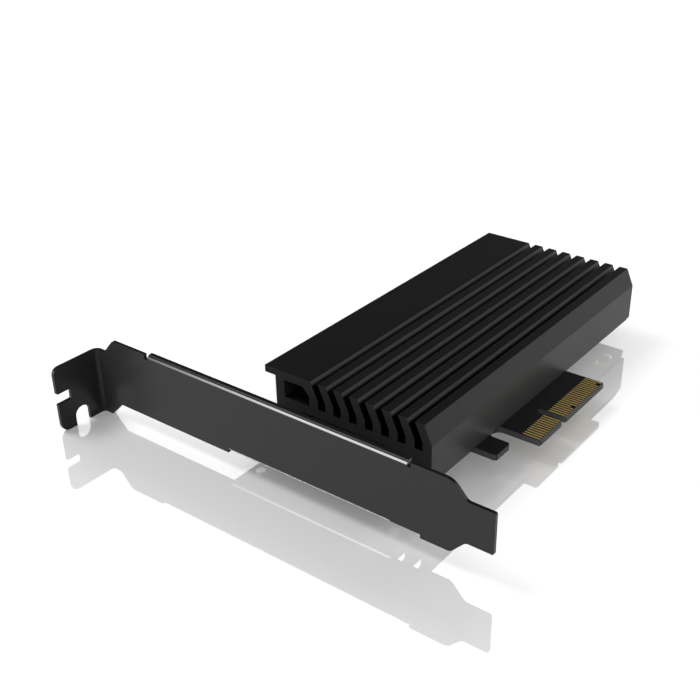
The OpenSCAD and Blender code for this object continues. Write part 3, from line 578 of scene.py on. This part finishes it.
def capacitor_solder():
    """Concave fillets at both metal ends of each coupling capacitor."""
    mesh = bmesh.new()
    reach = 0.34 * MM
    spill = 0.1 * MM
    bodies = [middle(body) for body in islands("capacitor_bodies")]
    for low, high in islands("capacitor_ends"):
        place = middle((low, high))
        body = min(bodies, key=lambda other: (other - place).length)
        out = 1 if place.x > body.x else -1
        face = high.x if out > 0 else low.x
        add_fillet(mesh, face, out, low.y + spill / 2, high.y - spill / 2, MASK_TOP,
            (high.z - low.z) * 0.78, reach)
        pad = sorted((face - out * (high.x - low.x), face + out * (reach + spill)))
        add_box(mesh, (pad[0], low.y - spill, MASK_TOP - LIFT),
            (pad[1], high.y + spill, MASK_TOP + LIFT), LIFT / 2)
    finish_piece(mesh, "capacitor_solder", TIN)


def small_part_ends():
    """Tinned caps and solder on the small parts of the drive."""
    mesh = bmesh.new()
    cap = 0.24 * MM
    wrap = 0.012 * MM
    reach = 0.13 * MM
    for low, high in islands("drive_small_parts"):
        for out, face in ((-1, low.x), (1, high.x)):
            ends = sorted((face + out * wrap, face - out * cap))
            add_box(mesh, (ends[0], low.y - wrap, low.z),
                (ends[1], high.y + wrap, high.z + wrap), wrap)
            add_fillet(mesh, face + out * wrap, out, low.y, high.y, low.z,
                (high.z - low.z) * 0.6, reach, 3)
    finish_piece(mesh, "small_part_ends", TIN)


def pin_solder():
    """Pads and solder at the tails of the socket's pins."""
    mesh = bmesh.new()
    rim = 0.06 * MM
    tail = 0.5 * MM
    socket_low, socket_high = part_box("socket_housing")
    for low, high in islands("socket_front_pins"):
        add_box(mesh, (low.x - rim, low.y - 2 * rim, MASK_TOP - LIFT),
            (high.x + rim, low.y + tail, MASK_TOP + LIFT), LIFT / 2)
        add_box(mesh, (low.x - rim / 2, low.y - rim, MASK_TOP),
            (high.x + rim / 2, low.y + tail / 2, MASK_TOP + 2 * rim), rim)
    for low, high in islands("socket_rear_pins"):
        add_box(mesh, (low.x - rim, socket_high.y + rim, MASK_TOP - LIFT),
            (high.x + rim, high.y + 3 * rim, MASK_TOP + LIFT), LIFT / 2)
        add_box(mesh, (low.x - rim / 2, high.y - tail / 2, MASK_TOP),
            (high.x + rim / 2, high.y + 2 * rim, MASK_TOP + 2 * rim), rim)
    finish_piece(mesh, "pin_solder", TIN)


TRACE_W = 0.22 * MM
TRACE_T = 0.018 * MM
VIA_R = 0.28 * MM
VIA_HOLE_R = 0.13 * MM
VIA_LAND_T = TRACE_T * 1.3
# Lengths of the traces out from a contact: to a via, to a bend, and to under the heat sink
STUB = 1.6 * MM
STUB_MORE = 1.1 * MM
BEND_REACH = 1.2 * MM
BEND_SHIFT = 0.35 * MM
UNDER_SINK = 17.5 * MM


def finger_traces(name, node, base, up):
    """Traces under the mask from each contact, every third to a near via."""
    mesh = bmesh.new()
    vias = []
    for i, (low, high) in enumerate(islands(node)):
        y = (low.y + high.y) / 2
        start = Vector((low.x + TRACE_W, y))
        if i % 3 == 2:
            points = [start, Vector((low.x - STUB - STUB_MORE * (i % 2), y))]
        else:
            bend = Vector((low.x - BEND_REACH, y))
            side = BEND_SHIFT if i % 3 == 0 else -BEND_SHIFT
            turned = bend + Vector((-2 * BEND_SHIFT, side))
            points = [start, bend, turned, Vector((BOARD_HIGH.x - UNDER_SINK, turned.y))]
        vias.append(points[-1])
        add_strip(mesh, points, TRACE_W, TRACE_T, base if up > 0 else base - TRACE_T)
    for via in vias:
        add_ring(mesh, (via.x, via.y, base if up > 0 else base - VIA_LAND_T),
            VIA_R, VIA_HOLE_R, VIA_LAND_T)
    finish_piece(mesh, name, FINISHES["circuit_board"])


def via_rows():
    """Tented vias that stitch the ground planes, in rows along the board's sides."""
    mesh = bmesh.new()
    inset = 0.9 * MM
    pitch = 6.2 * MM
    drive_low, drive_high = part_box("drive_board")
    left = BOARD_LOW.x + inset
    right = drive_low.x + drive_high.x - left
    count = int((BOARD_HIGH.y - BOARD_LOW.y - 2 * inset) / pitch)
    for x in (left, right):
        for i in range(count + 1):
            y = BOARD_LOW.y + inset + i * pitch
            for base in (MASK_TOP, MASK_LOW - TRACE_T):
                add_ring(mesh, (x, y, base), VIA_R, VIA_HOLE_R, TRACE_T)
    finish_piece(mesh, "side_vias", FINISHES["circuit_board"])


VIA_RIM_INNER = 0.45


def copper_vias():
    """Faint rims of the filled vias that carry heat through the board under the drive."""
    mesh = bmesh.new()
    low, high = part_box("copper_area")
    columns = 5
    rows = 14
    rim = 0.2 * MM
    for i in range(columns):
        for j in range(rows):
            x = low.x + (high.x - low.x) * (i + 0.5) / columns
            y = low.y + (high.y - low.y) * (j + 0.5) / rows
            add_ring(mesh, (x, y, high.z), rim, rim * VIA_RIM_INNER, LIFT / 2, 14)
    finish_piece(mesh, "copper_vias", VIA_METAL)


def copper_frame():
    """Bright unclouded rim along the mask's opening round the copper area."""
    mesh = bmesh.new()
    low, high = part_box("copper_area")
    rim = 0.28 * MM
    top = high.z + LIFT / 4
    for x0, x1 in ((low.x, low.x + rim), (high.x - rim, high.x)):
        add_box(mesh, (x0, low.y, high.z - LIFT), (x1, high.y, top), LIFT / 4)
    for y0, y1 in ((low.y, low.y + rim), (high.y - rim, high.y)):
        add_box(mesh, (low.x + rim, y0, high.z - LIFT), (high.x - rim, y1, top), LIFT / 4)
    finish_piece(mesh, "copper_frame", BRIGHT_COPPER)


# Rim of a chip's dimple, as shares of its distance from the chip's corner
DIMPLE_OUTER = 0.42
DIMPLE_INNER = 0.34


def chip_marks():
    """Moulded dimple beside the first corner of each chip."""
    mesh = bmesh.new()
    inset = 1.1 * MM
    for name in ("flash_chip_near", "flash_chip_far", "controller_chip", "power_chip"):
        low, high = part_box(name)
        reach = min(inset, (high.x - low.x) / 5)
        add_ring(mesh, (low.x + reach, low.y + reach, high.z), reach * DIMPLE_OUTER,
            reach * DIMPLE_INNER, LIFT / 2, 18)
    finish_piece(mesh, "chip_marks", FINISHES["controller_chip"])


# Places of the test lands, as shares of the drive board's width and length
TEST_LANDS = ((0.2, 0.012), (0.31, 0.03), (0.66, 0.014), (0.78, 0.02), (0.86, 0.034),
    (0.93, 0.028))
TEST_LAND_R = 0.2 * MM


def drive_test_lands():
    """Small gold test lands scattered on the free parts of the drive's board."""
    mesh = bmesh.new()
    low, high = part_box("drive_board")
    for share_x, share_y in TEST_LANDS:
        place = (low.x + share_x * (high.x - low.x), low.y + share_y * (high.y - low.y), high.z)
        add_disc(mesh, place, TEST_LAND_R, LIFT)
    finish_piece(mesh, "drive_test_lands", GOLD)


# Shank radius, thread pitch and thread depth of the screws, and what they stand through
BRACKET_SCREW = (1.25 * MM, 0.4 * MM, 0.06 * MM)
HEAT_SINK_SCREW = (0.8 * MM, 0.3 * MM, 0.05 * MM)
BRACKET_SHEET = 0.86 * MM
SINK_FLANGE = 1.2 * MM


def screw_threads():
    """Thread ridges where the screws' shanks are open to view."""
    steel = bmesh.new()
    radius, pitch, depth = BRACKET_SCREW
    for low, high in islands("bracket_screws"):
        place = middle((low, high))
        add_thread(steel, place, radius, low.z, MASK_LOW - BRACKET_SHEET, pitch, depth)
    finish_piece(steel, "bracket_screw_threads", FINISHES["bracket_screws"])
    black = bmesh.new()
    radius, pitch, depth = HEAT_SINK_SCREW
    flange_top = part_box("heat_sink")[0].z + SINK_FLANGE
    for low, high in islands("heat_sink_screws"):
        place = middle((low, high))
        if place.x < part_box("drive_board")[0].x:
            add_thread(black, place, radius, flange_top, high.z, pitch, depth)
    finish_piece(black, "heat_sink_screw_threads", FINISHES["heat_sink_screws"])


# Ribs of the socket: level above its foot, reach along it, and the widest gap that has one
COMB_LEVEL = 0.9 * MM
COMB_REACH = 1.6 * MM
COMB_GAP = 1.0 * MM


def socket_comb():
    """Ribs between the front pins, on the floor of the socket."""
    mesh = bmesh.new()
    low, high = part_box("socket_housing")
    pins = islands("socket_front_pins")
    rib = 0.08 * MM
    floor = low.z + COMB_LEVEL
    for first, second in zip(pins, pins[1:]):
        start, end = first[1].x, second[0].x
        if end - start < COMB_GAP:
            x = (start + end) / 2
            add_box(mesh, (x - rib, low.y, floor - rib),
                (x + rib, low.y + COMB_REACH, floor + 3 * rib), rib / 2)
    finish_piece(mesh, "socket_comb", FINISHES["socket_housing"])


BRIGHT_COPPER = gold("bright_copper", (0.95, 0.78, 0.45), 0.3)
VIA_METAL = gold("via_metal", (0.2, 0.14, 0.06), 0.5)


def add_detail():
    capacitor_solder()
    small_part_ends()
    pin_solder()
    finger_traces("component_traces", "component_edge_contacts", MASK_TOP, 1)
    finger_traces("solder_side_traces", "solder_edge_contacts", MASK_LOW, -1)
    via_rows()
    copper_vias()
    copper_frame()
    chip_marks()
    drive_test_lands()
    screw_threads()
    socket_comb()


# Floor and light: the mirror fades by the first distance from the card, and the floor's own
# light grows from one level to the other by the second
FLOOR_REACH = 3.0
FLOOR_TONE = 0.95
FLOOR_MIRROR = 0.4
FLOOR_FADE = 0.06
FLOOR_LIFT = 0.17
FAR_LIFT = 0.5
FAR_FLOOR = 1.0


def make_floor():
    """White glossy table top that keeps the card's shadow and a faint mirror image."""
    mesh = bpy.data.meshes.new("floor")
    mesh.from_pydata([(-FLOOR_REACH, -FLOOR_REACH, 0), (FLOOR_REACH, -FLOOR_REACH, 0),
        (FLOOR_REACH, FLOOR_REACH, 0), (-FLOOR_REACH, FLOOR_REACH, 0)], [], [(0, 1, 2, 3)])
    floor = add_object("floor", mesh)
    made = Material("floor", (FLOOR_TONE, FLOOR_TONE, FLOOR_TONE), 0.0, Specular_IOR_Level=0.0)
    place = made.axes()
    reach = [made.math("MAXIMUM", 0.0,
        made.math("SUBTRACT", made.math("ABSOLUTE", place[axis]), high))
        for axis, high in zip("XY", cad_high)]
    away = made.math("SQRT", made.math("ADD", made.math("POWER", reach[0], 2.0),
        made.math("POWER", reach[1], 2.0)))
    made.plug(made.shader.inputs["Metallic"],
        made.spread(away, FLOOR_MIRROR, 0.0, 0.0, FLOOR_FADE))
    made.set("Emission Color", (1.0, 1.0, 1.0, 1.0))
    ray = made.node("ShaderNodeLightPath")
    seen = made.math("MAXIMUM", ray.outputs["Is Camera Ray"], ray.outputs["Is Glossy Ray"])
    lift = made.spread(away, FLOOR_LIFT, FAR_LIFT, 0.0, FAR_FLOOR)
    made.plug(made.shader.inputs["Emission Strength"], made.math("MULTIPLY", seen, lift))
    mesh.materials.append(made.made)


def area_light(name, place, aim, size, power):
    data = bpy.data.lights.new(name, "AREA")
    data.shape = "RECTANGLE"
    data.size, data.size_y = size
    data.energy = power
    lamp = add_object(name, data)
    lamp.matrix_world = Matrix.Translation(place) @ (
        (Vector(aim) - Vector(place)).to_track_quat("-Z", "Y").to_matrix().to_4x4())


# Name, place, aim, size in metres and power in watts of each lamp
LAMPS = (
    ("key", (-0.47, -0.19, 0.8), (0, -0.05, 0.02), (0.32, 0.32), 3.6),
    ("side", (0.55, 0.6, 0.4), (0.02, 0, 0.01), (0.6, 0.35), 1.3),
)
# World: even light for matt faces, and for gloss a backdrop that falls to a dim ceiling
# between two heights and stands higher on one side
AMBIENT = 0.55
CEILING = 0.04
FALL_START = 0.03
FALL_END = 0.26
WALL_SIDE = (0.9, 0.43, 0.0)
WALL_LIFT = 0.65


def make_world():
    """White backdrop, also in the floor's mirror, with a dim ceiling for the soft gloss."""
    world = bpy.data.worlds.new("studio")
    world.use_nodes = True
    tree = world.node_tree

    def join(source, target):
        tree.links.new(source, target)

    def background(strength):
        made = tree.nodes.new("ShaderNodeBackground")
        made.inputs["Color"].default_value = (1, 1, 1, 1)
        made.inputs["Strength"].default_value = strength
        return made

    def combine(operation, first, second):
        made = tree.nodes.new("ShaderNodeMath")
        made.operation = operation
        for socket, value in zip(made.inputs, (first, second)):
            if isinstance(value, bpy.types.NodeSocket):
                join(value, socket)
            else:
                socket.default_value = value
        return made.outputs[0]

    def choose(factor, first, second):
        made = tree.nodes.new("ShaderNodeMixShader")
        join(factor, made.inputs[0])
        join(first.outputs[0], made.inputs[1])
        join(second.outputs[0], made.inputs[2])
        return made

    direction = tree.nodes.new("ShaderNodeTexCoord").outputs["Generated"]
    split = tree.nodes.new("ShaderNodeSeparateXYZ")
    join(direction, split.inputs["Vector"])
    side = tree.nodes.new("ShaderNodeVectorMath")
    side.operation = "DOT_PRODUCT"
    join(direction, side.inputs[0])
    side.inputs[1].default_value = WALL_SIDE
    wall = combine("MULTIPLY", combine("MAXIMUM", side.outputs["Value"], 0.0), WALL_LIFT)
    fall = tree.nodes.new("ShaderNodeMapRange")
    fall.interpolation_type = "SMOOTHSTEP"
    join(combine("SUBTRACT", split.outputs["Z"], wall), fall.inputs["Value"])
    fall.inputs["From Min"].default_value = FALL_START
    fall.inputs["From Max"].default_value = FALL_END
    fall.inputs["To Min"].default_value = 1.0
    fall.inputs["To Max"].default_value = CEILING
    studio = background(1.0)
    join(fall.outputs["Result"], studio.inputs["Strength"])

    ray = tree.nodes.new("ShaderNodeLightPath")
    seen = ray.outputs
    soft = combine("MAXIMUM", seen["Is Glossy Ray"], seen["Is Transmission Ray"])
    sharp = combine("MAXIMUM", seen["Is Camera Ray"], seen["Is Singular Ray"])
    lit = choose(soft, background(AMBIENT), studio)
    shown = choose(sharp, lit, background(1.0))
    join(shown.outputs[0], tree.nodes["World Output"].inputs["Surface"])
    bpy.context.scene.world = world


make_camera()
finish_nodes()
add_detail()
make_floor()
make_world()
for lamp in LAMPS:
    area_light(*lamp)

bpy.context.scene.view_settings.view_transform = "Standard"
